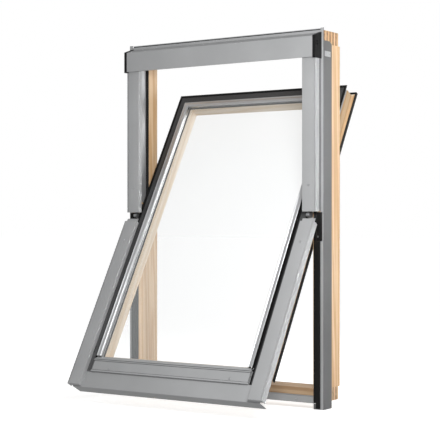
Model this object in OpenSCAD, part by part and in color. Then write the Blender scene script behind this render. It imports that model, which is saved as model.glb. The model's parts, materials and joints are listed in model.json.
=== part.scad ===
// Centre-pivot roof window: a pine frame and a glazed pine sash, both clad outside in folded aluminium.
// X runs to the right seen from outside, Y into the room, Z up the window. The origin is the centre of
// the underside of the wooden frame. The sash is drawn closed and is then swung open on its two pins.

/* [Frame] */
// Outside width of the wooden frame
frame_w = 780; // [600:10:1140]
// Outside height of the wooden frame
frame_h = 1178; // [980:2:1400]
// Thickness of a jamb, across the window
jamb_t = 38; // [34:1:46]
// Depth of a jamb, from its outside face to the room
jamb_d = 104; // [98:1:125]
// Thickness of the head and of the sill
rail_t = 42; // [36:1:50]
// Depth of the head and of the sill
rail_d = 93; // [86:1:98]
// Fingers in each corner joint, counted through the depth
finger_count = 10; // [6:2:14]
// Width and depth of the groove for the room lining
groove_w = 13; // [8:1:16]
groove_d = 10; // [6:1:14]

/* [Sash] */
// Angle at which the sash stands open
open_angle = 29.5; // [0:0.5:45]
// How far the pivot pins stand in front of the wood
pivot_out = 22; // [20:1:23]
// Height of the pivot above the middle of the frame
pivot_up = 5; // [0:1:10]
// Gap between the widest part of the sash and a jamb
side_gap = 4; // [3.5:0.5:6]
// Height of the visible top edge of the sash below the top of the frame
sash_drop = 81; // [78:1:90]
// Gap between the bottom rail and the sill
sill_gap = 8; // [7:1:12]
// How far the sash gasket is set in from the widest part of the stile
gasket_inset = 5; // [5:1:8]
// Thickness of each pane
pane_t = 4; // [3:1:6]
// Gas space between the panes
gas_gap = 12; // [8:1:16]

/* [Cladding] */
// Thickness of the folded aluminium
sheet = 1.2; // [0.8:0.1:1.6]
// Width of a side cover
cover_w = 51; // [46:1:56]
// Distance of a cover's face in front of the wood
cover_out = 30.7; // [28:0.1:34]
// Distance of a cover's outer edge beyond the clad frame's inner face
cover_lap = 28; // [26:1:30]
// Height of the pivot gap between the upper and the lower covers
cover_split = 37; // [34:1:44]
// Height of the front face of the top casing
hood_h = 66; // [60:1:76]
// Distance of the top casing's face in front of the wood
hood_out = 41; // [38:1:48]
// Depth of the claddings along the sides of the frame
clad_side = 50; // [40:1:60]
// How far the side claddings hang below the wood
clad_drop = 24; // [16:1:30]
// How far the apron hangs below the wood when the sash is shut
apron_drop = 48; // [44:1:60]
// Depth of the apron's lip
apron_lip = 43; // [30:1:50]

/* [Hardware] */
// Diameter of the pivot pins
pin_d = 8; // [6:0.5:10]
// Radial clearance of the hinge arm on its pin
pin_clear = 0.06; // [0.02:0.01:0.1]
// Thickness of the hinge plates and arms
plate_t = 3; // [2.5:0.5:3]
// Length of the handle lever
lever_l = 112; // [90:2:130]
// Travel of the latch bolt
bolt_travel = 14; // [13:1:16]

/* [Hidden] */
$fn = 48;

// frame
front = -jamb_d / 2;                       // outside face of the wood
half_w = frame_w / 2;
jamb_x = half_w - jamb_t;                  // inner face of a jamb
pivot = [0, front - pivot_out, frame_h / 2 + pivot_up];
finger = rail_d / finger_count;
groove_edge = 12;                          // wood left outside the lining groove
clad_gap = 6;                              // the claddings start this far below the wood

// sash
flange_x = jamb_x - side_gap;              // widest part of the sash
edge_x = flange_x - gasket_inset;          // outer edge of the sash gasket
sash_top = frame_h - sash_drop;            // top edge of the sash gasket
sash_bot = rail_t + sill_gap;              // underside of the bottom rail
stile_w = 39;                              // width of the stile behind its flange
stile_x = edge_x - 6;                      // outer side of that part
stile_in = stile_x - stile_w;              // face of the stile seen through the glass
wood_v = 9;                                // front of the sash wood behind the frame's front
splay_v = 34;                              // where the inner splay begins
flange_v = 46;                             // front of the stile's closing flange
sash_back = 58;                            // room face of the sash
seal_w = 3;                                // thickness of the seal round the flange
flange_top = 11;                           // rise of the top rail's flange over the gasket
bottom_rail_h = 34;
rebate_h = 14;                             // height of the bottom rail under the glass
mitre_c = sash_top - edge_x;               // the corners are mitred along z = x + mitre_c

// glazing; u is a distance in from the gasket's outer edge, v a depth behind the frame's front
gasket_w = 7;
edge_w = 12;                               // width of the dark edge profile
rib_count = 4;                             // fine ribs along that profile
rib_w = 1.4;
rib_h = 0.7;
bead_u = 37;                               // start of the raised bead
bead_w = 17;
bead_v = -22;                              // face of the raised bead
strip_v = -10;                             // face of the flat strip beside it
strip_t = 1.5;
ridge = 1.2;                               // height of the fine ridges on the bead
sight_u = bead_u + bead_w;                 // edge of the visible glass
glass_edge_u = bead_u + 2;
glass_seat = 1;                            // thickness of the inner glazing gasket
pane_front = wood_v - glass_seat - 2 * pane_t - gas_gap;
sight_x = edge_x - sight_u;
sight_bot = sash_bot + rebate_h;           // lower edge of the visible glass
glass_x = edge_x - glass_edge_u;
glass_top = sash_top - glass_edge_u;
glass_bot = sight_bot - 8;
seal_t = 1.5;                              // thickness of the outer glazing gasket
bottom_v = bead_v + 1;                     // face of the bottom glazing profile
bottom_lo = sash_bot - 42;
bottom_hi = sight_bot - 12;
bottom_half = sight_x + 20;                // half its length
bottom_screw_z = bottom_lo + 13;
apron_v = -16;
apron_top = sash_bot + sheet;
apron_x = edge_x + 23;

// covers, claddings and top casing
cover_x = jamb_x + cover_lap;              // outer edge of a cover
cover_in = cover_x - cover_w;
cover_return = 7.4;                        // where the outer fold of a cover stops
bevel = 1.5;                               // chamfer that stands for the bend of a fold
upper_cover_z = pivot[2] + 10;             // lower end of an upper cover
lower_cover_z = upper_cover_z - cover_split;
tongue_h = 13;
tongue_drop = 8;
cover_bot = -apron_drop + 3;
gasket_v = -7;                             // face of the frame gasket
clad_x = half_w + sheet;
flange_in = cover_x - 0.5;                 // inner edge of the side cladding's front fold
gasket_in = cover_x - 14;
clad_side_top = frame_h - 32;
clad_top = frame_h + 8;
hood_half = cover_x - 6;
hood_top = frame_h - 21;
hood_bot = hood_top - hood_h;
hood_rise = 14;                            // rise of the casing's sloping top
cover_top = hood_bot + 14;                 // upper end of an upper cover, behind the casing
cap_t = 10;
boss_d = 16;
stop_z = sash_top + 6;                     // underside of the head stop
stop_v = flange_v - 1;
inner_gasket_v = 38;
inner_gasket_x = edge_x + 1;
seam_low = pivot[2] + 46;                  // lower end of the jamb strip and its gasket

// hardware
head_d = 6;
head_h = 1.4;
shank_d = 3;
hole_d = shank_d + 0.4;
thread_d = shank_d - 0.04;
snug = 0.04;                               // room of a pressed pin or spindle in its hole
turning = 0.12;                            // room of the spindle in its hole
plate_z = 40;                              // half height of a hinge plate
arm_z = 42;
ear_r = 7;
rivet = 4;                                 // how much wider than the pin its heads are
arm_v = 22;                                // front of the arm's web behind the frame's front
ear_gap = 1;                               // between a hinge arm and a hinge plate
plate_low = pivot[2] - 84;                 // lower end of a hinge cap
plate_high = upper_cover_z + 2;
cap_top = plate_high - 4;
hinge_screw_places = [[14, pivot[2] - 28], [14, pivot[2] + 28], [30, pivot[2] - 28], [30, pivot[2] + 28]];
arm_screw_places = [[20, pivot[2] - 30], [20, pivot[2] + 30]];
screw_in_wood = 20;
arm_screw_l = 16;
cap_screw_x = cover_x - 6;
cap_screw_z = pivot[2] - 70;
cover_screw_x = cover_in + 24;
upper_screw_z = upper_cover_z + 84;
cover_screw_z = lower_cover_z - 75;
clip_heights = [lower_cover_z - 30, (lower_cover_z + sash_bot) / 2, sash_bot + 40];
clip_half = 12;
sill_screw_places = [-jamb_x + 62, 0, jamb_x - 62];
sill_screw_z = 5;
bottom_screw_places = [-sight_x + 52, sight_x - 52];
keeper_w = 46;
keeper_d = 18;
keeper_t = 1.2;
bolt_w = 14;
bolt_t = 8;
bolt_l = 24;
bolt_y = front + 38;
bolt_room = 0.3;                           // round the bolt in the bottom rail
pocket_room = 1;                           // round the bolt in the sill
pocket_h = bolt_travel - sill_gap + 6;
handle_z = sash_bot + 20;
spindle_d = 9;
rose_w = 52;
rose_h = 26;
rose_t = 3;
hub_d = 20;
hub_h = 12;
lever_w = 14;

// colours
wood = "#e3bd8d";
grey = "#a3a4a5";
silver = "#c3c4c6";
dark = "#55575a";
black = "#242526";
steel = "#8b8e92";

// ---- ways of placing a piece ----

// Turns a sash piece from its shut place to where it stands open
module swing() {
    translate(pivot) rotate([-open_angle, 0, 0]) translate(-pivot) children();
}

// The left-hand twin of a right-hand piece
module left() {
    mirror([1, 0, 0]) children();
}

// A block between two corners; y is measured from the outside face of the wood
module block(x0, x1, v0, v1, z0, z1) {
    translate([x0, front + v0, z0]) cube([x1 - x0, v1 - v0, z1 - z0]);
}

// An upright bar: its section is drawn with x and with y from the outside face of the wood
module upright(section, z0, z1) {
    translate([0, 0, z0]) linear_extrude(z1 - z0)
        polygon([for (p = section) [p[0], front + p[1]]]);
}

// A bar along X: its section is drawn with y from the outside face of the wood and with z
module crossbar(section, x0, x1) {
    translate([x0, 0, 0]) rotate([90, 0, 90]) linear_extrude(x1 - x0)
        polygon([for (p = section) [front + p[0], p[1]]]);
}

// A plate drawn in x and z, between two depths
module facing(outline, v0, v1) {
    translate([0, front + v1, 0]) rotate([90, 0, 0]) linear_extrude(v1 - v0) polygon(outline);
}

// A round bar along Y or along X
module rod_y(d, x, v0, v1, z) {
    translate([x, front + v1, z]) rotate([90, 0, 0]) cylinder(d = d, h = v1 - v0);
}

module rod_x(d, x0, x1, y, z) {
    translate([x0, y, z]) rotate([0, 90, 0]) cylinder(d = d, h = x1 - x0);
}

// ---- frame: wood ----

// One finger of the corner joints, at the right-hand end of a rail
module finger_slot(i, z0) {
    block(jamb_x, half_w, i * finger, (i + 1) * finger, z0, z0 + rail_t);
}

module jamb() {
    color(wood) difference() {
        block(jamb_x, half_w, 0, jamb_d, 0, frame_h);
        for (z0 = [0, frame_h - rail_t]) {
            for (i = [0:2:finger_count - 1]) finger_slot(i, z0);
            block(jamb_x, half_w, rail_d, jamb_d, z0, z0 + rail_t);
        }
        block(half_w - groove_edge - groove_w, half_w - groove_edge, jamb_d - groove_d, jamb_d,
            rail_t, frame_h - rail_t);
        for (p = hinge_screw_places) rod_x(shank_d, jamb_x, jamb_x + screw_in_wood, front + p[0], p[1]);
        rod_y(shank_d, cap_screw_x, 0, screw_in_wood, cap_screw_z);
    }
}

module cross_rail(z0) {
    block(-jamb_x, jamb_x, 0, rail_d, z0, z0 + rail_t);
    for (i = [0:2:finger_count - 1]) {
        finger_slot(i, z0);
        left() finger_slot(i, z0);
    }
}

module head() {
    color(wood) difference() {
        cross_rail(frame_h - rail_t);
        block(-jamb_x, jamb_x, rail_d - groove_d, rail_d, frame_h - groove_edge - groove_w, frame_h - groove_edge);
    }
}

module sill() {
    color(wood) difference() {
        cross_rail(0);
        block(-jamb_x, jamb_x, rail_d - groove_d, rail_d, groove_edge, groove_edge + groove_w);
        bolt_space(pocket_room, rail_t - pocket_h, rail_t + 1);
        keeper_plate();
        for (x = sill_screw_places) rod_y(shank_d, x, 0, screw_in_wood, sill_screw_z);
    }
}

module head_stop() {
    color(wood) block(-jamb_x, jamb_x, 12, stop_v, stop_z, frame_h - rail_t);
}

// ---- frame: claddings and casing ----

module side_cladding() {
    foot_in = jamb_x + 2;
    color(grey) difference() {
        union() {
            block(flange_in, clad_x, -sheet, 0, -clad_drop, clad_top);
            block(foot_in, clad_x, -sheet, 0, -clad_drop, -clad_gap);
            block(clad_x - sheet, clad_x, -sheet, clad_side, -clad_drop, clad_side_top);
            block(clad_x - 20, clad_x, -sheet, clad_side, -clad_drop, -clad_drop + sheet);
        }
        translate([0, front + clad_side, clad_side_top]) rotate([0, 90, 0])
            linear_extrude(clad_x + 1) polygon([[-1, -16], [-1, 1], [8, 1]]);
    }
}

module head_cladding() {
    z = frame_h;
    color(grey) crossbar([
        [-sheet, stop_z], [0, stop_z], [0, z], [clad_side, z],
        [clad_side, z + sheet], [-sheet, z + sheet]
    ], -flange_in, flange_in);
}

module head_seal() {
    color(black) block(-flange_in + 2, flange_in - 2, 3, 9, frame_h + sheet, frame_h + 5);
}

module head_lip() {
    z = frame_h + 5;
    color(silver) crossbar([
        [-1, z - 1], [0.5, z - 1], [0.5, z], [12, z], [12, z + sheet], [-1, z + sheet]
    ], -flange_in, flange_in);
}

module sill_cladding() {
    inner = jamb_x + 1;
    color(grey) difference() {
        crossbar([
            [-sheet, -clad_gap], [14, -clad_gap], [14, -clad_gap + sheet], [0, -clad_gap + sheet], [0, 17],
            [-3.5, 19], [-4, 18], [-sheet, 16]
        ], -inner, inner);
        for (x = sill_screw_places) rod_y(hole_d, x, -sheet - 1, 1, sill_screw_z);
    }
}

module hood() {
    top = [-hood_out, hood_top];
    color(grey) crossbar([
        [-hood_out, hood_bot], [-hood_out + 6, hood_bot], [-hood_out + 6, hood_bot + sheet],
        [-hood_out + sheet, hood_bot + sheet], top + [sheet, -sheet],
        [-sheet, hood_top + hood_rise - sheet], [-sheet, hood_top + hood_rise], top
    ], -hood_half, hood_half);
}

module hood_cap() {
    outline = [
        [-hood_out - 1, hood_bot - 3], [-sheet, hood_bot - 3], [-sheet, hood_top + hood_rise + 2],
        [-hood_out - 1, hood_top + 2]
    ];
    color(black) difference() {
        union() {
            crossbar(outline, hood_half, hood_half + cap_t);
            rod_x(boss_d, hood_half + cap_t, hood_half + cap_t + 3, front - hood_out + 17, hood_top - 20);
            block(hood_half - 3, hood_half, -hood_out + 14, -sheet, cover_top + 2, hood_top - 4);
        }
        block(hood_half - 4, cover_x + 0.3, -cover_out - 0.3, 0, hood_bot - 4, cover_top + 0.3);
    }
}

// Section of a side cover: a face, a deep fold on the outer edge and a short one on the inner edge
function cover_section(inner_stop) = [
    [cover_in, inner_stop], [cover_in, -cover_out + bevel], [cover_in + bevel, -cover_out],
    [cover_x - bevel, -cover_out], [cover_x, -cover_out + bevel], [cover_x, -cover_return],
    [cover_x - sheet, -cover_return], [cover_x - sheet, -cover_out + 2],
    [cover_x - 2, -cover_out + sheet], [cover_in + 2, -cover_out + sheet],
    [cover_in + sheet, -cover_out + 2], [cover_in + sheet, inner_stop]
];

module upper_cover() {
    color(grey) difference() {
        upright(cover_section(-15), upper_cover_z, cover_top);
        rod_y(hole_d, cover_screw_x, -cover_out - 1, -cover_out + 3, upper_screw_z);
    }
}

module frame_gasket() {
    color(black) union() {
        block(gasket_in, flange_in, gasket_v, -sheet, -clad_drop + 4, plate_low);
        block(gasket_in, flange_in, -sheet, 0, -clad_gap, plate_low);
        block(gasket_in, flange_in, gasket_v, 0, plate_high, stop_z);
    }
}

module inner_gasket() {
    color(black) upright([
        [jamb_x, inner_gasket_v], [inner_gasket_x, inner_gasket_v + 4],
        [inner_gasket_x, stop_v], [jamb_x, stop_v]
    ], seam_low, stop_z);
}

module jamb_strip() {
    color(silver) upright([
        [jamb_x - sheet, -sheet], [jamb_x + 10, -sheet], [jamb_x + 10, 0], [jamb_x, 0],
        [jamb_x, 24], [jamb_x - sheet, 24]
    ], seam_low, stop_z);
}

// ---- frame: hardware ----

module hinge_plate() {
    y = pivot[1] - front;
    color(steel) difference() {
        union() {
            block(jamb_x - plate_t, jamb_x, 0, 38, pivot[2] - plate_z, pivot[2] + plate_z);
            block(jamb_x - plate_t, jamb_x, y, 1, pivot[2] - ear_r, pivot[2] + ear_r);
            rod_x(2 * ear_r, jamb_x - plate_t, jamb_x, pivot[1], pivot[2]);
        }
        rod_x(pin_d + snug, jamb_x - plate_t - 1, jamb_x + 1, pivot[1], pivot[2]);
        for (p = hinge_screw_places) rod_x(hole_d, jamb_x - 5, jamb_x + 1, front + p[0], p[1]);
    }
}

module pivot_pin() {
    inner = jamb_x - 2 * plate_t - 2 * ear_gap;
    outer = jamb_x + 0.1;
    color(silver) union() {
        rod_x(pin_d, inner, outer, pivot[1], pivot[2]);
        rod_x(pin_d + rivet, inner - 2, inner, pivot[1], pivot[2]);
        rod_x(pin_d + rivet, outer, outer + 2, pivot[1], pivot[2]);
    }
}

module hinge_cap() {
    cap_out = clad_x - 4;
    color(black) difference() {
        union() {
            block(gasket_in, cap_out, gasket_v, -sheet, plate_low, cap_top - 20);
            block(gasket_in, flange_in, -sheet, 0, plate_low, cap_top - 20);
            block(gasket_in, flange_in, gasket_v, 0, cap_top - 20, cap_top);
        }
        rod_y(hole_d, cap_screw_x, gasket_v - 1, 1, cap_screw_z);
    }
}

module blank_plate() {
    color(silver) difference() {
        block(clad_x, clad_x + 0.8, 6, 41, clad_side_top - 50, clad_side_top - 33);
        rod_x(hole_d, clad_x - 1, clad_x + 2, front + 34, clad_side_top - 42);
    }
}

// The space of the bolt between two heights, with some room round it
module bolt_space(room, z0, z1) {
    block(-bolt_w / 2 - room, bolt_w / 2 + room, bolt_y - front - bolt_t / 2 - room,
        bolt_y - front + bolt_t / 2 + room, z0, z1);
}

module keeper_plate() {
    block(-keeper_w / 2, keeper_w / 2, bolt_y - front - keeper_d / 2, bolt_y - front + keeper_d / 2,
        rail_t - keeper_t, rail_t);
}

module latch_keeper() {
    color(steel) difference() {
        keeper_plate();
        bolt_space(pocket_room, rail_t - 2, rail_t + 1);
    }
}

// A pan-head screw that points into the window
module screw_in(x, v, z, length) {
    rod_y(head_d, x, v - head_h, v, z);
    rod_y(thread_d, x, v - 0.1, v + length, z);
}

module frame_screws() {
    color(steel) {
        for (x = sill_screw_places) screw_in(x, -sheet, sill_screw_z, screw_in_wood);
        for (side = [-1, 1]) {
            screw_in(side * cover_screw_x, -cover_out, upper_screw_z, 8);
            screw_in(side * cap_screw_x, gasket_v, cap_screw_z, screw_in_wood);
        }
        for (p = hinge_screw_places) {
            plate_screw(p);
            left() plate_screw(p);
        }
    }
}

// A flat-head screw that holds a hinge plate to the jamb
module plate_screw(p) {
    x = jamb_x - plate_t;
    rod_x(head_d, x - 0.6, x, front + p[0], p[1]);
    rod_x(thread_d, x - 0.5, x + screw_in_wood, front + p[0], p[1]);
}

// ---- sash: wood ----

// The part of an upright sash bar that lies below the mitre
module mitred_upright(section, z0) {
    xa = edge_x - 90;
    xb = edge_x + 40;
    intersection() {
        upright(section, z0, sash_top + 40);
        facing([[xa, z0 - 1], [xb, z0 - 1], [xb, xb + mitre_c], [xa, xa + mitre_c]], -60, 80);
    }
}

// The part of a top sash bar that lies above the two mitres
module mitred_crossbar(section, half) {
    xa = edge_x - 90;
    xb = edge_x + 40;
    intersection() {
        crossbar(section, -half, half);
        facing([[-xb, xb + mitre_c], [-xa, xa + mitre_c], [xa, xa + mitre_c], [xb, xb + mitre_c]], -60, 80);
    }
}

stile_section = [
    [stile_in, wood_v], [stile_x, wood_v], [stile_x, flange_v], [flange_x - seal_w, flange_v],
    [flange_x - seal_w, sash_back], [stile_in + sash_back - splay_v, sash_back], [stile_in, splay_v]
];

// Height at which a top bar's section lies, for a distance in from the gasket's edge
function down(u) = sash_top - u;

module stile_solid() {
    mitred_upright(stile_section, sash_bot);
}

module stile() {
    color(wood) difference() {
        stile_solid();
        for (p = arm_screw_places) rod_x(shank_d, stile_x - arm_screw_l, stile_x, front + p[0], p[1]);
    }
}

module top_rail() {
    inner = down(edge_x - stile_in);
    outer = down(edge_x - stile_x);
    rim = sash_top + flange_top - seal_w;
    color(wood) mitred_crossbar([
        [wood_v, inner], [wood_v, outer], [flange_v, outer], [flange_v, rim],
        [sash_back, rim], [sash_back, inner + sash_back - splay_v], [splay_v, inner]
    ], flange_x - seal_w);
}

module bottom_rail() {
    color(wood) difference() {
        crossbar([
            [wood_v, sash_bot], [wood_v, sight_bot], [wood_v + 5, sight_bot],
            [splay_v, sash_bot + bottom_rail_h], [sash_back, sash_bot + bottom_rail_h], [sash_back, sash_bot]
        ], -stile_x, stile_x);
        stile_solid();
        left() stile_solid();
        bolt_space(bolt_room, sash_bot - 1, sash_bot + bolt_l + 1.5);
        rod_y(spindle_d + turning, 0, bolt_y - front - 1, sash_back + 1, handle_z);
    }
}

// ---- sash: glazing ----

module outer_pane() {
    color("#dfe9ee", 0.35) block(-glass_x, glass_x, pane_front, pane_front + pane_t, glass_bot, glass_top);
}

module inner_pane() {
    v = pane_front + pane_t + gas_gap;
    color("#dfe9ee", 0.35) block(-glass_x, glass_x, v, v + pane_t, glass_bot, glass_top);
}

// A rectangular ring in x and z
module ring(x, z0, z1, w_side, w_top, w_bot, v0, v1) {
    difference() {
        block(-x, x, v0, v1, z0, z1);
        block(-x + w_side, x - w_side, v0 - 1, v1 + 1, z0 + w_bot, z1 - w_top);
    }
}

module pane_spacer() {
    v = pane_front + pane_t;
    color(steel) ring(glass_x - 0.5, glass_bot + 0.5, glass_top - 0.5, 5, 5, 5, v, v + gas_gap);
}

module inner_glazing_gasket() {
    color(black) ring(
        glass_x - 1, glass_bot + 1, glass_top - 1, gasket_w, gasket_w, gasket_w - 1,
        wood_v - glass_seat, wood_v
    );
}

module outer_glazing_gasket() {
    color(black) ring(
        sight_x + gasket_w, sight_bot - gasket_w, down(sight_u) + gasket_w,
        gasket_w, gasket_w, gasket_w, pane_front - seal_t, pane_front
    );
}

// Section of an aluminium glazing profile, as distance in from the gasket's edge and depth
profile_section = [
    [gasket_w + edge_w, strip_v], [bead_u, strip_v], [bead_u, bead_v], [bead_u + 1, bead_v - ridge],
    [bead_u + 2.5, bead_v - ridge], [bead_u + 3.5, bead_v], [sight_u - 3.5, bead_v],
    [sight_u - 2.5, bead_v - ridge], [sight_u - 1, bead_v - ridge], [sight_u, bead_v],
    [sight_u, pane_front - seal_t], [sight_u - strip_t, pane_front - seal_t],
    [sight_u - strip_t, bead_v + strip_t], [bead_u + strip_t, bead_v + strip_t],
    [bead_u + strip_t, strip_v + strip_t],
    [gasket_w + edge_w + strip_t, strip_v + strip_t], [gasket_w + edge_w + strip_t, strip_v + 2 * strip_t],
    [gasket_w + strip_t, strip_v + 2 * strip_t], [gasket_w + strip_t, wood_v], [gasket_w, wood_v],
    [gasket_w, strip_v + strip_t], [gasket_w + edge_w, strip_v + strip_t]
];

function as_upright(section) = [for (p = section) [edge_x - p[0], p[1]]];
function as_top(section) = [for (p = section) [p[1], down(p[0])]];

module glazing_profile() {
    color(silver) difference() {
        mitred_upright(as_upright(profile_section), bottom_lo);
        block(0, bottom_half, bottom_v - 4, wood_v + 1, bottom_lo - 1, sight_bot);
        block(0, edge_x, strip_v + strip_t, wood_v + 1, bottom_lo - 1, sash_bot);
    }
}

module glazing_profile_top() {
    color(silver) mitred_crossbar(as_top(profile_section), edge_x);
}

module glazing_profile_bottom() {
    color(grey) difference() {
        crossbar([
            [pane_front - seal_t, sight_bot], [pane_front - seal_t, sight_bot - 1.5],
            [bottom_v + sheet, bottom_hi - 1], [bottom_v + sheet, bottom_lo + 2],
            [apron_v, bottom_lo + 2], [apron_v, bottom_lo], [bottom_v - 1.5, bottom_lo],
            [bottom_v - 1.5, bottom_lo + 3], [bottom_v, bottom_lo + 4], [bottom_v, bottom_hi - 5],
            [bottom_v - 1.5, bottom_hi - 4], [bottom_v - 1.5, bottom_hi],
            [bottom_v + 1, bottom_hi + 1.5]
        ], -bottom_half, bottom_half);
        for (x = bottom_screw_places) rod_y(hole_d, x, bottom_v - 3, apron_v, bottom_screw_z);
    }
}

// Section of the flat dark profile beside the gasket, with its four fine ribs
edge_section = concat(
    [[gasket_w, strip_v + strip_t], [gasket_w, strip_v]],
    [for (i = [0:rib_count - 1]) for (p = [[0, 0], [0, -rib_h], [rib_w, -rib_h], [rib_w, 0]])
        [gasket_w + 1 + i * edge_w / rib_count + p[0], strip_v + p[1]]],
    [[gasket_w + edge_w, strip_v], [gasket_w + edge_w, strip_v + strip_t]]
);

module edge_profile() {
    color(dark) mitred_upright(as_upright(edge_section), bottom_lo);
}

module edge_profile_top() {
    color(dark) mitred_crossbar(as_top(edge_section), edge_x);
}

module sash_gasket() {
    section = [[0, strip_v - 2], [gasket_w, strip_v - 3], [gasket_w, strip_v + 2.5], [0, strip_v + 1]];
    color(black) union() {
        mitred_upright(as_upright(section), bottom_lo + 10);
        left() mitred_upright(as_upright(section), bottom_lo + 10);
        mitred_crossbar(as_top(section), edge_x);
    }
}

// The seal round the edge of the sash's flange
module flange_seal() {
    outer = [[flange_v, 0], [flange_v + 1, seal_w], [sash_back - 1, seal_w], [sash_back, 0]];
    x0 = flange_x - seal_w;
    z0 = sash_top + flange_top - seal_w;
    section = [for (p = outer) [x0 + p[1], p[0]]];
    color(black) union() {
        upright(section, sash_bot, z0);
        left() upright(section, sash_bot, z0);
        crossbar([for (p = outer) [p[0], z0 + p[1]]], -flange_x, flange_x);
    }
}

// ---- sash: covers ----

module lower_cover() {
    z0 = cover_bot;
    color(grey) difference() {
        union() {
            upright(cover_section(apron_v), z0, lower_cover_z);
            block(cover_in + 2, cover_x - 2, -cover_out + sheet, -cover_out + tongue_drop + sheet,
                lower_cover_z - 8, lower_cover_z);
            block(cover_in + 2, cover_x - 2, -cover_out + tongue_drop, -cover_out + tongue_drop + sheet,
                lower_cover_z - 8, lower_cover_z + tongue_h);
            block(cover_in + 1, cover_x - 1, -cover_out + sheet, apron_v, z0, z0 + sheet);
        }
        crossbar([[-cover_out - 1, z0 - 1], [-cover_out + 3, z0 - 1], [-cover_out - 1, z0 + 3]],
            cover_in - 1, cover_x + 1);
        rod_y(hole_d, cover_screw_x, -cover_out - 1, -cover_out + 3, cover_screw_z);
    }
}

module cover_clips() {
    color(black) for (z = clip_heights) {
        cover_clip(z);
        left() cover_clip(z);
    }
}

// A plastic clip that carries the lower cover on the sash's edge profile
module cover_clip(z) {
    block(cover_in + 2, cover_in + 6, -cover_out + 3, strip_v - rib_h, z - clip_half, z + clip_half);
    block(cover_in + 2, edge_x - gasket_w, -cover_out + sheet, -cover_out + 4, z - clip_half, z + clip_half);
}

module apron() {
    color(grey) difference() {
        union() {
            crossbar([
                [apron_v, -apron_drop + 1], [apron_v + 1, -apron_drop], [apron_v + apron_lip, -apron_drop],
                [apron_v + apron_lip, -apron_drop + sheet], [apron_v + sheet, -apron_drop + sheet],
                [apron_v + sheet, bottom_lo - 0.5], [apron_v, bottom_lo - 0.5]
            ], -apron_x, apron_x);
            crossbar([
                [apron_v, bottom_lo - 1], [apron_v + sheet, bottom_lo - 1], [apron_v + sheet, sash_bot],
                [wood_v, sash_bot], [wood_v, apron_top], [apron_v, apron_top]
            ], -bottom_half, bottom_half);
        }
        for (x = bottom_screw_places) rod_y(hole_d, x, apron_v - 1, apron_v + 3, bottom_screw_z);
    }
}

// ---- sash: hardware ----

module hinge_arm() {
    x1 = jamb_x - plate_t - ear_gap;
    x0 = x1 - plate_t;
    y = pivot[1] - front;
    color(steel) difference() {
        union() {
            block(stile_x, stile_x + plate_t, 12, 36, pivot[2] - arm_z, pivot[2] + arm_z);
            block(stile_x, x1, arm_v, arm_v + plate_t, pivot[2] - 14, pivot[2] + 14);
            block(x0, x1, y, arm_v + plate_t, pivot[2] - ear_r, pivot[2] + ear_r);
            rod_x(2 * ear_r, x0, x1, pivot[1], pivot[2]);
        }
        rod_x(pin_d + 2 * pin_clear, x0 - 1, x1 + 1, pivot[1], pivot[2]);
        for (p = arm_screw_places) rod_x(hole_d, stile_x - 1, stile_x + 4, front + p[0], p[1]);
    }
}

module arm_screw(p) {
    x = stile_x + plate_t;
    rod_x(head_d, x, x + head_h, front + p[0], p[1]);
    rod_x(thread_d, x - arm_screw_l, x + 0.5, front + p[0], p[1]);
}

module sash_screws() {
    color(steel) {
        for (side = [-1, 1]) screw_in(side * cover_screw_x, -cover_out, cover_screw_z, 8);
        for (x = bottom_screw_places) screw_in(x, bottom_v, bottom_screw_z, 8);
        for (p = arm_screw_places) {
            arm_screw(p);
            left() arm_screw(p);
        }
    }
}

module handle_rose() {
    color(steel) difference() {
        block(-rose_w / 2, rose_w / 2, sash_back, sash_back + rose_t,
            handle_z - rose_h / 2, handle_z + rose_h / 2);
        rod_y(spindle_d + turning, 0, sash_back - 1, sash_back + rose_t + 1, handle_z);
    }
}

module handle_spindle() {
    color(steel) rod_y(spindle_d, 0, bolt_y - front + bolt_t / 2 + 1, sash_back + 8, handle_z);
}

module handle_lever() {
    v0 = sash_back + rose_t + 0.2;
    tip = lever_l - 8;
    color(steel) difference() {
        union() {
            rod_y(hub_d, 0, v0, v0 + hub_h, handle_z);
            block(0, tip, v0 + 5, v0 + hub_h, handle_z - lever_w / 2, handle_z + lever_w / 2);
            rod_y(lever_w, tip, v0 + 5, v0 + hub_h, handle_z);
        }
        rod_y(spindle_d + snug, 0, v0 - 1, sash_back + 8, handle_z);
    }
}

module latch_bolt() {
    color(silver) bolt_space(0, sash_bot + 0.5, sash_bot + 0.5 + bolt_l);
}

// ---- the sub-parts ----

left() jamb();  // jamb_left
jamb();  // jamb_right
head();
sill();
head_stop();
left() side_cladding();  // side_cladding_left
side_cladding();  // side_cladding_right
head_cladding();
sill_cladding();
head_seal();
head_lip();
hood();
left() hood_cap();  // hood_cap_left
hood_cap();  // hood_cap_right
left() upper_cover();  // upper_cover_left
upper_cover();  // upper_cover_right
left() frame_gasket();  // frame_gasket_left
frame_gasket();  // frame_gasket_right
left() inner_gasket();  // inner_gasket_left
inner_gasket();  // inner_gasket_right
left() jamb_strip();  // jamb_strip_left
jamb_strip();  // jamb_strip_right
left() hinge_plate();  // hinge_plate_left
hinge_plate();  // hinge_plate_right
left() pivot_pin();  // pivot_pin_left
pivot_pin();  // pivot_pin_right
left() hinge_cap();  // hinge_cap_left
hinge_cap();  // hinge_cap_right
blank_plate();
latch_keeper();
frame_screws();
swing() left() stile();  // stile_left
swing() stile();  // stile_right
swing() top_rail();
swing() bottom_rail();
swing() outer_pane();
swing() inner_pane();
swing() pane_spacer();
swing() inner_glazing_gasket();
swing() outer_glazing_gasket();
swing() left() glazing_profile();  // glazing_profile_left
swing() glazing_profile();  // glazing_profile_right
swing() glazing_profile_top();
swing() glazing_profile_bottom();
swing() left() edge_profile();  // edge_profile_left
swing() edge_profile();  // edge_profile_right
swing() edge_profile_top();
swing() sash_gasket();
swing() flange_seal();
swing() left() lower_cover();  // lower_cover_left
swing() lower_cover();  // lower_cover_right
swing() apron();
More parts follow.
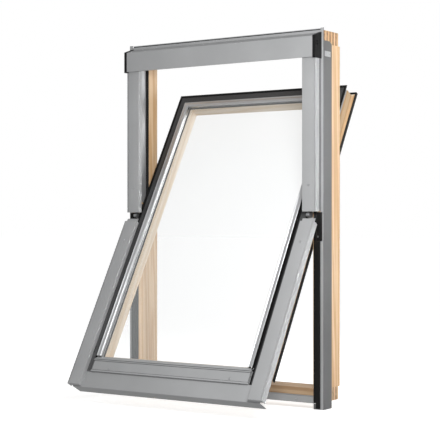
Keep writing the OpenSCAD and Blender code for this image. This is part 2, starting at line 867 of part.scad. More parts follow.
swing() cover_clips();
swing() left() hinge_arm();  // hinge_arm_left
swing() hinge_arm();  // hinge_arm_right
swing() sash_screws();
swing() handle_rose();
swing() handle_lever();
swing() handle_spindle();
swing() latch_bolt();
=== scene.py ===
# A centre-pivot roof window: a pine frame, a glazed pine sash that stands open on two pins,
# and folded aluminium over every part that the weather reaches.
import json
import math
import bpy
from mathutils import Matrix, Vector


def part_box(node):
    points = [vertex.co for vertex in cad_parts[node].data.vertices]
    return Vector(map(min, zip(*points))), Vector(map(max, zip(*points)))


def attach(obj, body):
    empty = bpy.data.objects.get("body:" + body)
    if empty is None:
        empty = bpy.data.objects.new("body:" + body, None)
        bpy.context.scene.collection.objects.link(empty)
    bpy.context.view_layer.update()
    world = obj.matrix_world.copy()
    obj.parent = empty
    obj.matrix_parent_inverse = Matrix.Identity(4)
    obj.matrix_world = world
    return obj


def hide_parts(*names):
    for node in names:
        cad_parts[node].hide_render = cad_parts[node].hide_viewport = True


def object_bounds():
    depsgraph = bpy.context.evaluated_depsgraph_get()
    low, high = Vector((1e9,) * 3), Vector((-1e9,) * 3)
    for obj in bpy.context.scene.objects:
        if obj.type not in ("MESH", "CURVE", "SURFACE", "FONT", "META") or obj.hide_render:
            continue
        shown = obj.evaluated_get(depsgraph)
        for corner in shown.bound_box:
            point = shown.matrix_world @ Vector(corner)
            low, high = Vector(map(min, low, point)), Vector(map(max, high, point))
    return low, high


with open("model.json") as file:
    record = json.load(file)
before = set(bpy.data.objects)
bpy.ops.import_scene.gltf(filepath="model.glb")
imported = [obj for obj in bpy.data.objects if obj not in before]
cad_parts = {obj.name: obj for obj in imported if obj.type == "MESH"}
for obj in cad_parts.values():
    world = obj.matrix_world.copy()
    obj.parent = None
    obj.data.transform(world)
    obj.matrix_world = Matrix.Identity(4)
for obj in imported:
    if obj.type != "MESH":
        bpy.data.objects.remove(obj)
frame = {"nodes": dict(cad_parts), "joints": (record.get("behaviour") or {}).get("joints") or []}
nodes = frame["nodes"]
cad_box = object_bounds()
bpy.ops.object.select_all(action="DESELECT")

# ---- camera ----
# The window is seen from its weather side, a little from the right, with a long lens held level.
# A small shift of the lens centres it without tilting its upright lines.
camera_at = Vector((2.489, -3.648, 0.569))
camera_turn = math.radians(34.78)
bpy.ops.object.camera_add(location=camera_at, rotation=(math.radians(90), 0, camera_turn))
camera = bpy.context.object
camera.name = "camera"
camera.data.lens = 107.4
camera.data.sensor_width = 36.0
camera.data.shift_y = 0.00575
camera.data.clip_end = 60
bpy.context.scene.camera = camera
bpy.context.scene.view_settings.view_transform = "Standard"
bpy.context.scene.view_settings.exposure = 0.0


# ---- floor and surroundings ----
# The window stands on a plain pale floor in a white room. The floor glows faintly, so that it is as
# pale as the room behind it, but it throws no light up on the object.
floor_gap = 0.001
floor_z = cad_box[0][2] - floor_gap
bpy.ops.mesh.primitive_plane_add(size=80, location=(0, 0, floor_z))
floor = bpy.context.object
floor.name = "floor"
bpy.ops.object.transform_apply(location=True, rotation=True, scale=True)
paper = bpy.data.materials.new("studio floor")
paper.use_nodes = True
paper_skin = paper.node_tree.nodes["Principled BSDF"]
paper_skin.inputs["Base Color"].default_value = (0.93, 0.93, 0.93, 1)
paper_skin.inputs["Roughness"].default_value = 0.9
paper_skin.inputs["Emission Color"].default_value = (1, 1, 1, 1)
paper_skin.inputs["Emission Strength"].default_value = 0.575
floor.data.materials.append(paper)
floor.visible_diffuse = False
floor.visible_glossy = False

world = bpy.data.worlds.new("studio")
bpy.context.scene.world = world
world.use_nodes = True
sky = world.node_tree.nodes["Background"]
sky.inputs["Color"].default_value = (1, 1, 1, 1)
seen = world.node_tree.nodes.new("ShaderNodeLightPath")
level = world.node_tree.nodes.new("ShaderNodeMapRange")
level.inputs["To Min"].default_value = 0.47
level.inputs["To Max"].default_value = 1.0
world.node_tree.links.new(seen.outputs["Is Camera Ray"], level.inputs["Value"])
world.node_tree.links.new(level.outputs["Result"], sky.inputs["Strength"])


# ---- lights ----
# A soft key light in front of the top casing on the right, a narrow strip that grazes the right
# side, and a broad fill on the room side.
def soft_light(name, at, towards, width, height, spread, watts):
    bpy.ops.object.light_add(type="AREA", location=at)
    light = bpy.context.object
    light.name = name
    aim = Vector(towards) - Vector(at)
    light.rotation_euler = aim.to_track_quat("-Z", "Y").to_euler()
    light.data.shape = "RECTANGLE"
    light.data.size = width
    light.data.size_y = height
    light.data.spread = math.radians(spread)
    light.data.energy = watts
    light.visible_camera = False
    bpy.ops.object.select_all(action="DESELECT")


soft_light("key light", (1.15, -1.2, 1.05), (0.1, -0.05, 0.6), 0.5, 0.5, 180, 22)
soft_light("side strip", (3.0, -0.22, 0.65), (0.4, -0.22, 0.65), 0.5, 1.7, 10, 1.7)
soft_light("room light", (0.35, 1.7, 0.9), (0, 0, 0.55), 0.8, 0.8, 180, 14)


# ---- frame timbers and bottom rail ----
# Laminated pine under clear satin varnish, comb-jointed at the frame's corners. The grain runs
# along each timber, and the fibres show as fine streaks.
def material(name, slot):
    """A new material, its nodes, its links and its surface shader, for one slot of the record."""
    made = bpy.data.materials.new(name)
    made.use_nodes = True
    made["slot"] = slot
    return made, made.node_tree.nodes, made.node_tree.links, made.node_tree.nodes["Principled BSDF"]


def dress(made, *names):
    """Gives a finish to pieces that keep the shape they come with."""
    for name in names:
        mesh = nodes[name].data
        mesh.materials.clear()
        mesh.materials.append(made)


def pine(name, lengthwise, turn, light, streak, seed):
    """Varnished pine: the way its grain runs, its tilt, its two colours and where the log began."""
    made, n, link, skin = material(name, "pine")
    place = n.new("ShaderNodeTexCoord")
    lie = n.new("ShaderNodeMapping")
    lie.vector_type = "TEXTURE"
    lie.inputs["Rotation"].default_value = (turn, 0, 0)
    stretch = {"X": (0.035, 1, 1), "Z": (1, 1, 0.035)}[lengthwise]
    long = n.new("ShaderNodeMapping")
    long.inputs["Scale"].default_value = stretch
    long.inputs["Location"].default_value = (seed, seed * 1.7, seed * 0.3)
    link.new(place.outputs["Object"], lie.inputs["Vector"])
    link.new(lie.outputs["Vector"], long.inputs["Vector"])
    rings = n.new("ShaderNodeTexWave")
    rings.wave_type = "BANDS"
    rings.bands_direction = "DIAGONAL"
    rings.inputs["Scale"].default_value = 26
    rings.inputs["Distortion"].default_value = 9
    rings.inputs["Detail"].default_value = 3
    rings.inputs["Detail Scale"].default_value = 1.6
    fibres = n.new("ShaderNodeTexNoise")
    fibres.inputs["Scale"].default_value = 420
    fibres.inputs["Detail"].default_value = 4
    boards = n.new("ShaderNodeTexNoise")
    boards.inputs["Scale"].default_value = 14
    boards.inputs["Detail"].default_value = 2
    for tex in (rings, fibres, boards):
        link.new(long.outputs["Vector"], tex.inputs["Vector"])
    colour = n.new("ShaderNodeValToRGB")
    colour.color_ramp.elements[0].position = 0.15
    colour.color_ramp.elements[0].color = (*light, 1)
    colour.color_ramp.elements[1].position = 0.95
    colour.color_ramp.elements[1].color = (*streak, 1)
    link.new(rings.outputs["Fac"], colour.inputs["Fac"])
    tint = n.new("ShaderNodeMix")
    tint.data_type = "RGBA"
    tint.blend_type = "MULTIPLY"
    tint.inputs["Factor"].default_value = 1.0
    shade = n.new("ShaderNodeMapRange")
    shade.inputs["From Min"].default_value = 0.3
    shade.inputs["From Max"].default_value = 0.7
    shade.inputs["To Min"].default_value = 0.86
    shade.inputs["To Max"].default_value = 1.06
    link.new(boards.outputs["Fac"], shade.inputs["Value"])
    link.new(colour.outputs["Color"], tint.inputs["A"])
    link.new(shade.outputs["Result"], tint.inputs["B"])
    fine = n.new("ShaderNodeMix")
    fine.data_type = "RGBA"
    fine.blend_type = "MULTIPLY"
    fine.inputs["Factor"].default_value = 1.0
    grey = n.new("ShaderNodeMapRange")
    grey.inputs["To Min"].default_value = 0.88
    grey.inputs["To Max"].default_value = 1.06
    link.new(fibres.outputs["Fac"], grey.inputs["Value"])
    link.new(tint.outputs["Result"], fine.inputs["A"])
    link.new(grey.outputs["Result"], fine.inputs["B"])
    link.new(fine.outputs["Result"], skin.inputs["Base Color"])
    gloss = n.new("ShaderNodeMapRange")
    gloss.inputs["To Min"].default_value = 0.38
    gloss.inputs["To Max"].default_value = 0.56
    link.new(fibres.outputs["Fac"], gloss.inputs["Value"])
    link.new(gloss.outputs["Result"], skin.inputs["Roughness"])
    bump = n.new("ShaderNodeBump")
    bump.inputs["Strength"].default_value = 0.25
    bump.inputs["Distance"].default_value = 0.0004
    link.new(fibres.outputs["Fac"], bump.inputs["Height"])
    link.new(bump.outputs["Normal"], skin.inputs["Normal"])
    skin.inputs["Specular IOR Level"].default_value = 0.35
    return made


pivot_joint = next(j for j in frame["joints"] if j["name"] == "sash_pivot")
pivot = Vector(pivot_joint["pos_m"])
open_angle = math.radians(-pivot_joint["range_deg"][0])
pale, amber = (0.80, 0.58, 0.36), (0.66, 0.42, 0.22)
brown, dark_brown = (0.50, 0.35, 0.22), (0.36, 0.23, 0.13)

dress(pine("pine jamb", "Z", 0, pale, amber, 0.3), "jamb_left", "jamb_right")
head_brown, head_dark = (0.42, 0.25, 0.13), (0.26, 0.14, 0.07)
dress(pine("pine head", "X", 0, head_brown, head_dark, 1.1), "head")
dress(pine("pine sill", "X", 0, brown, dark_brown, 1.1), "sill")
dress(pine("pine stop", "X", 0, pale, amber, 2.3), "head_stop")
# The sash's pine is a lighter copy of the frame's, painted light as if the wood were lit brightly
# through the glass.
lit_sash_pale, lit_sash_amber = (0.93, 0.80, 0.64), (0.84, 0.66, 0.46)
lit_rail_pine = pine("pine sash rail painted light", "X", -open_angle, lit_sash_pale, lit_sash_amber, 1.9)
dress(lit_rail_pine, "bottom_rail")


# ---- stiles and top rail of the sash ----
# Planed pine bars, square behind the glass and rounded towards the room, with a flange that
# closes on the frame. They are cut at 45 degrees and glued, and stand open on the two pivots.
def mm(metres):
    """A size of the frame in mm, the unit of every size here but the radii of bevels."""
    return round(metres * 1000, 2)


wood_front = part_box("jamb_left")[0][1]
swing = (Matrix.Translation(pivot) @ Matrix.Rotation(-open_angle, 4, "X")
         @ Matrix.Translation(-pivot))
edge_x = mm(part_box("sash_gasket")[1][0])    # outer edge of the sash gasket, from the middle
sash_top = 1097         # top edge of that gasket, with the sash shut
sash_bottom = 50.2
wood_in = 42            # the bars' inner faces, in from the gasket's edge
bar_w = 36
wood_v, flange_v, room_v = 9, 46, 57.8      # fronts of bar and flange, and the room face
flange_out = 8
rail_end, rail_depth, rail_top = 298, 37, 84    # the bottom rail that meets the stile's foot
room_round = 0.004      # radius of the edge round the glass on the room side
spare = 40              # length left on a bar for the saw


def at(x, v, z):
    """A point from sizes in mm: across, behind the frame's front, and up."""
    return Vector((x * 0.001, wood_front + v * 0.001, z * 0.001))


def only(piece):
    """Selects one piece and nothing else."""
    bpy.ops.object.select_all(action="DESELECT")
    piece.select_set(True)
    bpy.context.view_layer.objects.active = piece


def pick(piece, test):
    """Selects the vertices that pass a test, and opens the piece for editing."""
    only(piece)
    bpy.ops.object.mode_set(mode="EDIT")
    bpy.ops.mesh.select_mode(type="VERT")
    bpy.ops.mesh.select_all(action="DESELECT")
    bpy.ops.object.mode_set(mode="OBJECT")
    for point in piece.data.vertices:
        point.select = test(point.co)
    bpy.ops.object.mode_set(mode="EDIT")


def cut(piece, co, no, clear=True):
    """Saws a piece through a plane, and drops what lies beyond it unless told to keep it."""
    pick(piece, lambda co: True)
    bpy.ops.mesh.bisect(plane_co=co, plane_no=no, use_fill=clear, clear_outer=clear)
    bpy.ops.object.mode_set(mode="OBJECT")


def block(name, low, high):
    """A squared piece between two corners, ready to be sawn and rounded."""
    bpy.ops.object.select_all(action="DESELECT")
    bpy.ops.mesh.primitive_cube_add(size=1, location=(low + high) / 2)
    piece = bpy.context.object
    piece.name = name
    piece.scale = high - low
    bpy.ops.object.transform_apply(location=True, rotation=True, scale=True)
    return piece


def soften(piece, width, segments=2, angle=30):
    """Breaks the sharp edges of a piece and smooths its curves."""
    only(piece)
    edge = piece.modifiers.new("edges", "BEVEL")
    edge.width = width
    edge.segments = segments
    edge.limit_method = "ANGLE"
    edge.angle_limit = math.radians(angle)
    bpy.ops.object.modifier_apply(modifier=edge.name)
    bpy.ops.object.shade_smooth_by_angle(angle=math.radians(35))


def open_out(piece):
    """Turns a piece that was made with the sash shut to where the sash stands open."""
    only(piece)
    piece.matrix_world = swing
    bpy.ops.object.transform_apply(location=True, rotation=True, scale=True)


def fit(piece, made, body, *stands_for):
    """Finishes a piece and fixes it to a body, in place of the nodes that it stands for."""
    piece.data.materials.clear()
    piece.data.materials.append(made)
    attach(piece, body)
    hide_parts(*stands_for)


def mirrored(piece, name):
    """The same piece for the left side, with its own mesh."""
    only(piece)
    bpy.ops.object.duplicate()
    twin = bpy.context.object
    twin.name = name
    twin.scale.x = -1
    bpy.ops.object.transform_apply(location=True, rotation=True, scale=True)
    pick(twin, lambda co: True)
    bpy.ops.mesh.normals_make_consistent(inside=False)
    bpy.ops.object.mode_set(mode="OBJECT")
    return twin


def near(value, size):
    """Whether a value in metres is a size in mm."""
    return abs(value - size * 0.001) < 0.00005


mitre = at(edge_x, 0, sash_top)

stile = block("sash_stile_right", at(edge_x - wood_in, wood_v, sash_bottom),
              at(edge_x - wood_in + bar_w, room_v, sash_top + spare))
cut(stile, at(0, flange_v, 0), (0, 1, 0), clear=False)
pick(stile, lambda co: near(co.x, edge_x - wood_in + bar_w)
     and co.y > at(0, flange_v, 0).y - 0.0001)
bpy.ops.mesh.extrude_region_move(TRANSFORM_OT_translate={"value": (flange_out * 0.001, 0, 0)})
bpy.ops.object.mode_set(mode="OBJECT")
cut(stile, mitre, (-1, 0, 1))
pick(stile, lambda co: near(co.x, edge_x - wood_in) and near(co.y - wood_front, room_v))
bpy.ops.mesh.bevel(offset=room_round, segments=4, affect="EDGES")
bpy.ops.object.mode_set(mode="OBJECT")
soften(stile, 0.0006)
stile_foot = block("stile_foot", at(rail_end, wood_v, sash_bottom),
                   at(edge_x - wood_in, rail_depth, rail_top))
only(stile)
stile_foot.select_set(True)
bpy.ops.object.join()
stile_twin = mirrored(stile, "sash_stile_left")
# The left stile takes the lighter copy, painted light; the right stile takes the frame's own pine.
lit_stile_pine = pine("pine stile painted light", "Z", -open_angle, lit_sash_pale, lit_sash_amber, 0.8)
amber_pine = pine("amber pine stile", "Z", -open_angle, pale, amber, 1.3)
for piece, made, node in ((stile, amber_pine, "stile_right"),
                          (stile_twin, lit_stile_pine, "stile_left")):
    open_out(piece)
    fit(piece, made, "sash", node)

top_bar = block("sash_top_rail", at(-edge_x - spare, wood_v, sash_top - wood_in),
                at(edge_x + spare, room_v, sash_top - wood_in + bar_w))
cut(top_bar, at(0, flange_v, 0), (0, 1, 0), clear=False)
pick(top_bar, lambda co: near(co.z, sash_top - wood_in + bar_w)
     and co.y > at(0, flange_v, 0).y - 0.0001)
bpy.ops.mesh.extrude_region_move(TRANSFORM_OT_translate={"value": (0, 0, flange_out * 0.001)})
bpy.ops.object.mode_set(mode="OBJECT")
cut(top_bar, mitre, (1, 0, -1))
cut(top_bar, at(-edge_x, 0, sash_top), (-1, 0, -1))
pick(top_bar, lambda co: near(co.z, sash_top - wood_in) and near(co.y - wood_front, room_v))
bpy.ops.mesh.bevel(offset=room_round, segments=4, affect="EDGES")
bpy.ops.object.mode_set(mode="OBJECT")
soften(top_bar, 0.0006)
open_out(top_bar)
fit(top_bar, lit_rail_pine, "sash", "top_rail")


# ---- top casing, apron, claddings and steel hardware ----
# Cut and folded from thin aluminium sheet, coated matt grey and screwed on; the hardware is
# pressed steel, zinc-plated. Coating and sheet are a little uneven, which shows in the gloss.
def coated_sheet(name, grey, rough, metal, slot):
    """A coated or bare metal sheet: its grey, roughness and how metallic it looks."""
    made, n, link, skin = material(name, slot)
    place = n.new("ShaderNodeTexCoord")
    cloud = n.new("ShaderNodeTexNoise")
    cloud.inputs["Scale"].default_value = 7
    cloud.inputs["Detail"].default_value = 3
    grain = n.new("ShaderNodeTexNoise")
    grain.inputs["Scale"].default_value = 1400
    grain.inputs["Detail"].default_value = 2
    for tex in (cloud, grain):
        link.new(place.outputs["Object"], tex.inputs["Vector"])
    colour = n.new("ShaderNodeValToRGB")
    colour.color_ramp.elements[0].position = 0.3
    colour.color_ramp.elements[0].color = (*[v * 0.94 for v in grey], 1)
    colour.color_ramp.elements[1].position = 0.7
    colour.color_ramp.elements[1].color = (*[v * 1.05 for v in grey], 1)
    link.new(cloud.outputs["Fac"], colour.inputs["Fac"])
    link.new(colour.outputs["Color"], skin.inputs["Base Color"])
    gloss = n.new("ShaderNodeMapRange")
    gloss.inputs["To Min"].default_value = rough - 0.05
    gloss.inputs["To Max"].default_value = rough + 0.08
    link.new(grain.outputs["Fac"], gloss.inputs["Value"])
    link.new(gloss.outputs["Result"], skin.inputs["Roughness"])
    bump = n.new("ShaderNodeBump")
    bump.inputs["Strength"].default_value = 0.12
    bump.inputs["Distance"].default_value = 0.0002
    link.new(grain.outputs["Fac"], bump.inputs["Height"])
    link.new(bump.outputs["Normal"], skin.inputs["Normal"])
    skin.inputs["Metallic"].default_value = metal
    return made


cover_grey = coated_sheet("grey coated sheet", (0.36, 0.365, 0.37), 0.42, 0.0, "grey_cladding")
# The side claddings take a darker copy of the covers' grey: painted shade on their sides.
shaded_clad_grey = coated_sheet("grey coated cladding painted shade", (0.125, 0.126, 0.128), 0.45, 0.0, "grey_cladding")
bright = coated_sheet("satin aluminium", (0.60, 0.61, 0.62), 0.30, 0.7, "mill_aluminium")
# The ribbed band's grey is darker than its coat alone: part of it is painted shade.
dark = coated_sheet("dark coated profile with painted shade", (0.085, 0.086, 0.088), 0.38, 0.3, "dark_profile")
zinc = coated_sheet("zinc-plated steel", (0.55, 0.56, 0.57), 0.3, 0.9, "steel")
dress(cover_grey, "hood", "apron")
dress(cover_grey, "sill_cladding", "head_cladding")
dress(shaded_clad_grey, "side_cladding_left", "side_cladding_right")
dress(bright, "head_lip", "blank_plate")
dress(zinc, "hinge_plate_left", "hinge_plate_right", "hinge_arm_left", "hinge_arm_right",
      "pivot_pin_left", "pivot_pin_right", "latch_keeper", "frame_screws", "sash_screws",
      "handle_rose", "handle_lever", "handle_spindle", "latch_bolt", "pane_spacer")


# ---- glazing beads and ribbed edge profiles ----
# Extruded aluminium, cut at 45 degrees at the top corners and screwed over the edge of the glass:
# a bright bead with two fine ridges, and beside it a flat dark band with fine ribs. The band's dark
# grey is partly its coat and partly painted shade from the covers beside it.
def folded(name, upright, section, start, end, thick, bends=(), radius=0.0):
    """Folds a strip leaf by leaf along its section, then gives it the sheet's thickness."""
    def corner(p, s):
        return at(p[0], p[1], s) if upright else at(s, p[0], p[1])

    a, b, d = corner(section[0], start), corner(section[0], end), corner(section[1], start)
    bpy.ops.object.select_all(action="DESELECT")
    bpy.ops.mesh.primitive_plane_add(size=1)
    piece = bpy.context.object
    piece.name = name
    up = (b - a).cross(d - a).normalized()
    piece.matrix_world = Matrix.Translation((b + d) / 2) @ Matrix(
        (b - a, d - a, up)).transposed().to_4x4()
    bpy.ops.object.transform_apply(location=True, rotation=True, scale=True)
    pick(piece, lambda co: min((co - d).length, (co - d - b + a).length) < 0.00002)
    for last, here in zip(section[1:], section[2:]):
        step = corner(here, start) - corner(last, start)
        bpy.ops.mesh.extrude_region_move(TRANSFORM_OT_translate={"value": step})
    bpy.ops.object.mode_set(mode="OBJECT")
    if bends:
        folds = [corner(section[i], s) for i in bends for s in (start, end)]
        pick(piece, lambda co: any((co - f).length < 0.00002 for f in folds))
        bpy.ops.mesh.bevel(offset=radius, segments=4, affect="EDGES")
        bpy.ops.object.mode_set(mode="OBJECT")
    only(piece)
    sheet = piece.modifiers.new("sheet", "SOLIDIFY")
    sheet.thickness = thick * 0.001
    sheet.offset = 1
    sheet.use_even_offset = True
    bpy.ops.object.modifier_apply(modifier=sheet.name)
    pick(piece, lambda co: True)
    bpy.ops.mesh.normals_make_consistent(inside=False)
    bpy.ops.object.mode_set(mode="OBJECT")
    return piece


strip_v, bead_v = -10, -22          # faces of the ribbed band and of the bead
gasket_w, bead_u, sight_u = 7, 37, 54
bead_ridge, rib_h, rib_w, ribs = 1.2, 0.8, 1.5, 9
bead_t, rib_t = 1.1, 0.45           # thickness of the metal
sight_bottom, profile_bottom = 64, 8
seat_v = -13.5                      # where the bead bears on the glass
bead_section = [
    (bead_u, strip_v), (bead_u, bead_v), (bead_u + 1, bead_v - bead_ridge),
    (bead_u + 2.5, bead_v - bead_ridge), (bead_u + 3.5, bead_v), (sight_u - 3.5, bead_v),
    (sight_u - 2.5, bead_v - bead_ridge), (sight_u - 1, bead_v - bead_ridge),
    (sight_u, bead_v), (sight_u, seat_v)]
rib_pitch = (bead_u - gasket_w - 1.5) / ribs
edge_section = [(gasket_w + 0.3, strip_v)]
for i in range(ribs):
    u = gasket_w + 1.5 + i * rib_pitch
    edge_section += [(u, strip_v), (u, strip_v - rib_h), (u + rib_w, strip_v - rib_h),
                     (u + rib_w, strip_v)]
edge_section += [(bead_u, strip_v)]

for shape, section, foot, thick, made, name in (
        ("bead", bead_section, sight_bottom, bead_t, bright, "glazing_profile"),
        ("ribbed_edge", edge_section, profile_bottom, rib_t, dark, "edge_profile")):
    # a section is drawn from the gasket inwards, so an upright is folded from its inner side
    across = [(edge_x - u, v) for u, v in reversed(section)]
    side = folded(f"{shape}_right", True, across, foot, sash_top + spare, thick)
    over = [(v, sash_top - u) for u, v in section]
    top = folded(f"{shape}_top", False, over, -edge_x - spare, edge_x + spare, thick)
    if shape == "bead":     # the bright outer legs, which stand on the wood and stop above the sill
        leg_u = gasket_w + 0.3
        leg_v = strip_v + 0.6
        side_leg = folded("leg", True, [(edge_x - leg_u, leg_v), (edge_x - leg_u, wood_v)],
                          sash_bottom, sash_top + spare, thick)
        top_leg = folded("leg", False, [(wood_v, sash_top - leg_u), (leg_v, sash_top - leg_u)],
                         -edge_x - spare, edge_x + spare, thick)
        for piece, leg in ((side, side_leg), (top, top_leg)):
            only(piece)
            leg.select_set(True)
            bpy.ops.object.join()
    cut(side, mitre, (-1, 0, 1))
    soften(side, 0.00015, 1, 40)
    twin = mirrored(side, f"{shape}_left")
    cut(top, mitre, (1, 0, -1))
    cut(top, at(-edge_x, 0, sash_top), (-1, 0, -1))
    soften(top, 0.00015, 1, 40)
    for piece, node in ((side, "right"), (twin, "left"), (top, "top")):
        open_out(piece)
        fit(piece, made, "sash", f"{name}_{node}")


# ---- bottom glazing profile ----
# A broad extruded strip that holds the lower edge of the glass. It has two ridges above a groove,
# a plain face with a screw near each end, and a turned lip that sheds water on the apron.
profile_v, lip_back = -21, -16.2
profile_half = mm(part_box("glazing_profile_bottom")[1][0])
ridge_v, low_ridge_v, groove_v = profile_v - 1.4, profile_v - 1.0, profile_v + 2
profile_section = [
    (seat_v, sight_bottom), (profile_v, 54), (ridge_v, 54), (ridge_v, 51.5),
    (groove_v, 51.5), (groove_v, 49.5), (low_ridge_v, 49.5), (low_ridge_v, 46.5),
    (groove_v, 46.5), (groove_v, 44.5), (profile_v, 44.5), (profile_v, 14.5),
    (groove_v, 14.5), (groove_v, 13), (ridge_v, 13),
    (ridge_v, profile_bottom), (lip_back, profile_bottom)]
sill_bar = folded("bottom_glazing_bar", False, profile_section, -profile_half, profile_half, 0.8)
soften(sill_bar, 0.00015, 1, 40)
open_out(sill_bar)
fit(sill_bar, cover_grey, "sash", "glazing_profile_bottom")


# ---- jamb strips ----
# Bright aluminium angles let into the jambs behind the upper covers. They guard the edge of the
# wood and carry the inner gasket.
jamb_x = mm(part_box("jamb_right")[0][0])
strip_low, strip_high = (mm(corner[2]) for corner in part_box("jamb_strip_right"))
sheet_t, strip_depth, strip_w = 1.2, 37.5, 10
strip = folded("jamb_strip_angle_right", True,
               [(jamb_x - sheet_t, strip_depth), (jamb_x - sheet_t, -sheet_t),
                (jamb_x + strip_w, -sheet_t)],
               strip_low, strip_high, sheet_t - 0.05, (1,), 0.0012)
soften(strip, 0.0002, 1, 50)
twin = mirrored(strip, "jamb_strip_angle_left")
fit(strip, bright, "frame", "jamb_strip_right")
fit(twin, bright, "frame", "jamb_strip_left")


# ---- front folds of the side claddings ----
# The cladding beside each jamb ends in front in a narrow fold, coated in the grey of the covers.
# It laps over the edge of the side leg, whose darker grey is painted shade.
clad_low, clad_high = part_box("side_cladding_right")
clad_x, fold_v, end_room = mm(clad_high[0]), -1.6, 0.2
fold = folded("cladding_front_right", True,
              [(clad_x - 11.5, fold_v), (clad_x - 1.6, fold_v), (clad_x, -0.3)],
              mm(clad_low[2]) + end_room, mm(clad_high[2]) - end_room, 0.4, (1,), 0.0006)
twin = mirrored(fold, "cladding_front_left")
for piece in (fold, twin):
    soften(piece, 0.0001, 1, 50)
    fit(piece, cover_grey, "frame")


# ---- side covers ----
# Folded from thin aluminium sheet with rounded bends, a groove pressed along the outer one and a
# deep return. The upper pair is screwed to the frame, the lower pair clips on the sash.
cover_low, cover_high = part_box("upper_cover_right")
cover_in, cover_out_x = mm(cover_low[0]), mm(cover_high[0])
cover_v = mm(cover_low[1] - wood_front)
upper_low, upper_high = mm(cover_low[2]), mm(cover_high[2])
lower_low, lower_high = -45, 567    # the lower pair, with the sash shut
upper_stop, lower_stop, return_v = -15, -16, -7.4   # where the folds stop
tongue_v, tongue_top = cover_v + 8, 580
groove_d = 2.6
groove = [(cover_out_x - 5.2, cover_v), (cover_out_x - 5.0, cover_v + groove_d),
          (cover_out_x - 3.2, cover_v + groove_d), (cover_out_x - 3.0, cover_v)]
bend_r = 0.0011


def cover_section(inner_stop):
    """The section of a cover, from its inner fold round to its deep outer return."""
    return ([(cover_in, inner_stop), (cover_in, cover_v)] + groove
            + [(cover_out_x, cover_v), (cover_out_x, return_v)])


upper = folded("upper_side_cover_right", True, cover_section(upper_stop), upper_low, upper_high,
               sheet_t, (1, 6), bend_r)
soften(upper, 0.0002, 1, 50)
twin = mirrored(upper, "upper_side_cover_left")
fit(upper, cover_grey, "frame", "upper_cover_right")
fit(twin, cover_grey, "frame", "upper_cover_left")

lower = folded("lower_side_cover_right", True, cover_section(lower_stop), lower_low, lower_high,
               sheet_t, (1, 6), bend_r)
tongue = folded("tongue", False, [(tongue_v, tongue_top), (tongue_v, lower_high - 8),
                                  (cover_v + sheet_t, lower_high - 8)],
                cover_in + 2, cover_out_x - 2, sheet_t, (1,), 0.0008)
end = folded("cover_end", False, [(cover_v + 0.3, lower_low + 5), (cover_v + 0.3, lower_low),
                                  (lower_stop, lower_low)],
             cover_in + 1.3, cover_out_x - 1.3, 1.0, (1,), 0.003)
only(lower)
tongue.select_set(True)
end.select_set(True)
bpy.ops.object.join()
cut(lower, at(0, cover_v + 3, lower_low - 1), (0, -1, -1))
soften(lower, 0.0002, 1, 50)
twin = mirrored(lower, "lower_side_cover_left")
for piece, node in ((lower, "lower_cover_right"), (twin, "lower_cover_left")):
    open_out(piece)
    fit(piece, cover_grey, "sash", node)


# ---- rubber seals, casing ends and clips ----
# The seals are extruded black rubber with a dusty matt skin. The casing's ends and the cover
# clips are moulded in black plastic with a fine spark finish.
def black(name, grey, rough, slot):
    """Matt black rubber or plastic with a fine grain."""
    made, n, link, skin = material(name, slot)
    place = n.new("ShaderNodeTexCoord")
    grain = n.new("ShaderNodeTexNoise")
    grain.inputs["Scale"].default_value = 900
    grain.inputs["Detail"].default_value = 3
    link.new(place.outputs["Object"], grain.inputs["Vector"])
    colour = n.new("ShaderNodeValToRGB")
    colour.color_ramp.elements[0].color = (grey * 0.8, grey * 0.8, grey * 0.82, 1)
    colour.color_ramp.elements[1].color = (grey * 1.3, grey * 1.3, grey * 1.32, 1)
    link.new(grain.outputs["Fac"], colour.inputs["Fac"])
    link.new(colour.outputs["Color"], skin.inputs["Base Color"])
    bump = n.new("ShaderNodeBump")
    bump.inputs["Strength"].default_value = 0.2
    bump.inputs["Distance"].default_value = 0.0002
    link.new(grain.outputs["Fac"], bump.inputs["Height"])
    link.new(bump.outputs["Normal"], skin.inputs["Normal"])
    skin.inputs["Roughness"].default_value = rough
    skin.inputs["Specular IOR Level"].default_value = 0.15
    return made


rubber = black("black rubber", 0.010, 0.6, "seal_rubber")
plastic = black("black plastic", 0.009, 0.42, "black_plastic")
dress(rubber, "frame_gasket_left", "frame_gasket_right", "inner_gasket_left", "inner_gasket_right",
      "head_seal", "inner_glazing_gasket", "outer_glazing_gasket", "sash_gasket", "flange_seal")
dress(plastic, "hood_cap_left", "hood_cap_right", "cover_clips")
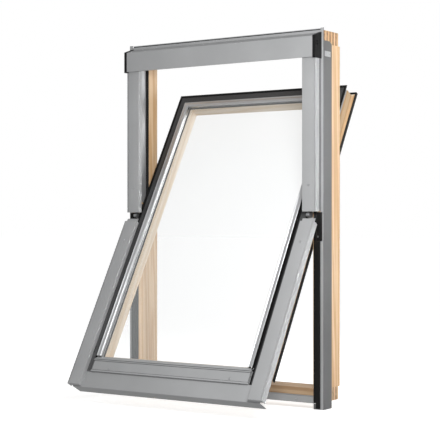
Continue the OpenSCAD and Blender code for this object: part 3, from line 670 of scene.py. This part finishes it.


# ---- bead seals, painted shade ----
# A black rubber angle along the outer side of each upright bead, pressed in between the bead and
# the ribbed band. Its black is painted shade: it darkens the joint where the covers throw shade.
seal_x, seal_w, seal_t = edge_x - bead_u + 1.6, 4.4, 1.2
seal_front, seal_foot = bead_v + 0.4, strip_v - 2.2
seal_low, seal_high = 12, sash_top - bead_u - 2
bead_shade_seal = folded("bead_seal_right", True,
                   [(seal_x, seal_front), (seal_x, seal_foot), (seal_x + seal_w, seal_foot)],
                   seal_low, seal_high, seal_t)
twin = mirrored(bead_shade_seal, "bead_seal_left")
for piece in (bead_shade_seal, twin):
    soften(piece, 0.0002, 1, 40)
    open_out(piece)
    fit(piece, rubber, "sash")


# ---- hinge covers ----
# A moulded black plastic cover with a rounded face hides each hinge. Its flat base strip is
# screwed along the lower front edge of the jamb.
box_low, box_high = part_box("hinge_cap_right")
cap_room = 0.2
cap_in, cap_out = mm(box_low[0]) + cap_room, mm(box_high[0]) - cap_room
cap_low, cap_high = mm(box_low[2]), mm(box_high[2])
cap_face, cap_round = mm(box_low[1] - wood_front), 0.0045
base_in, base_t, base_low, base_high = 354, 1.5, -5, 639
hinge_cover = block("hinge_cover_right", at(cap_in, cap_face, cap_low),
                    at(cap_out, -cap_room, cap_high))
pick(hinge_cover, lambda co: near(co.y - wood_front, cap_face))
bpy.ops.mesh.bevel(offset=cap_round, segments=5, affect="EDGES")
bpy.ops.object.mode_set(mode="OBJECT")
base_strip = block("base_strip", at(base_in, -base_t, base_low), at(cap_in + 0.5, 0, base_high))
only(hinge_cover)
base_strip.select_set(True)
bpy.ops.object.join()
soften(hinge_cover, 0.0005)
twin = mirrored(hinge_cover, "hinge_cover_left")
fit(hinge_cover, plastic, "frame", "hinge_cap_right")
fit(twin, plastic, "frame", "hinge_cap_left")


# ---- the glass unit ----
# Two panes of clear float glass. From the side they look faintly milky, and they show more of
# themselves the flatter they are looked along.
glass, n, link, skin = material("clear glass", "glass")
skin.inputs["Base Color"].default_value = (0.90, 0.93, 0.93, 1)
skin.inputs["Roughness"].default_value = 0.03
skin.inputs["IOR"].default_value = 1.5
edge_on = n.new("ShaderNodeLayerWeight")
edge_on.inputs["Blend"].default_value = 0.3
veil = n.new("ShaderNodeMapRange")
veil.inputs["To Min"].default_value = 0.03
veil.inputs["To Max"].default_value = 0.25
link.new(edge_on.outputs["Facing"], veil.inputs["Value"])
link.new(veil.outputs["Result"], skin.inputs["Alpha"])
dress(glass, "outer_pane", "inner_pane")
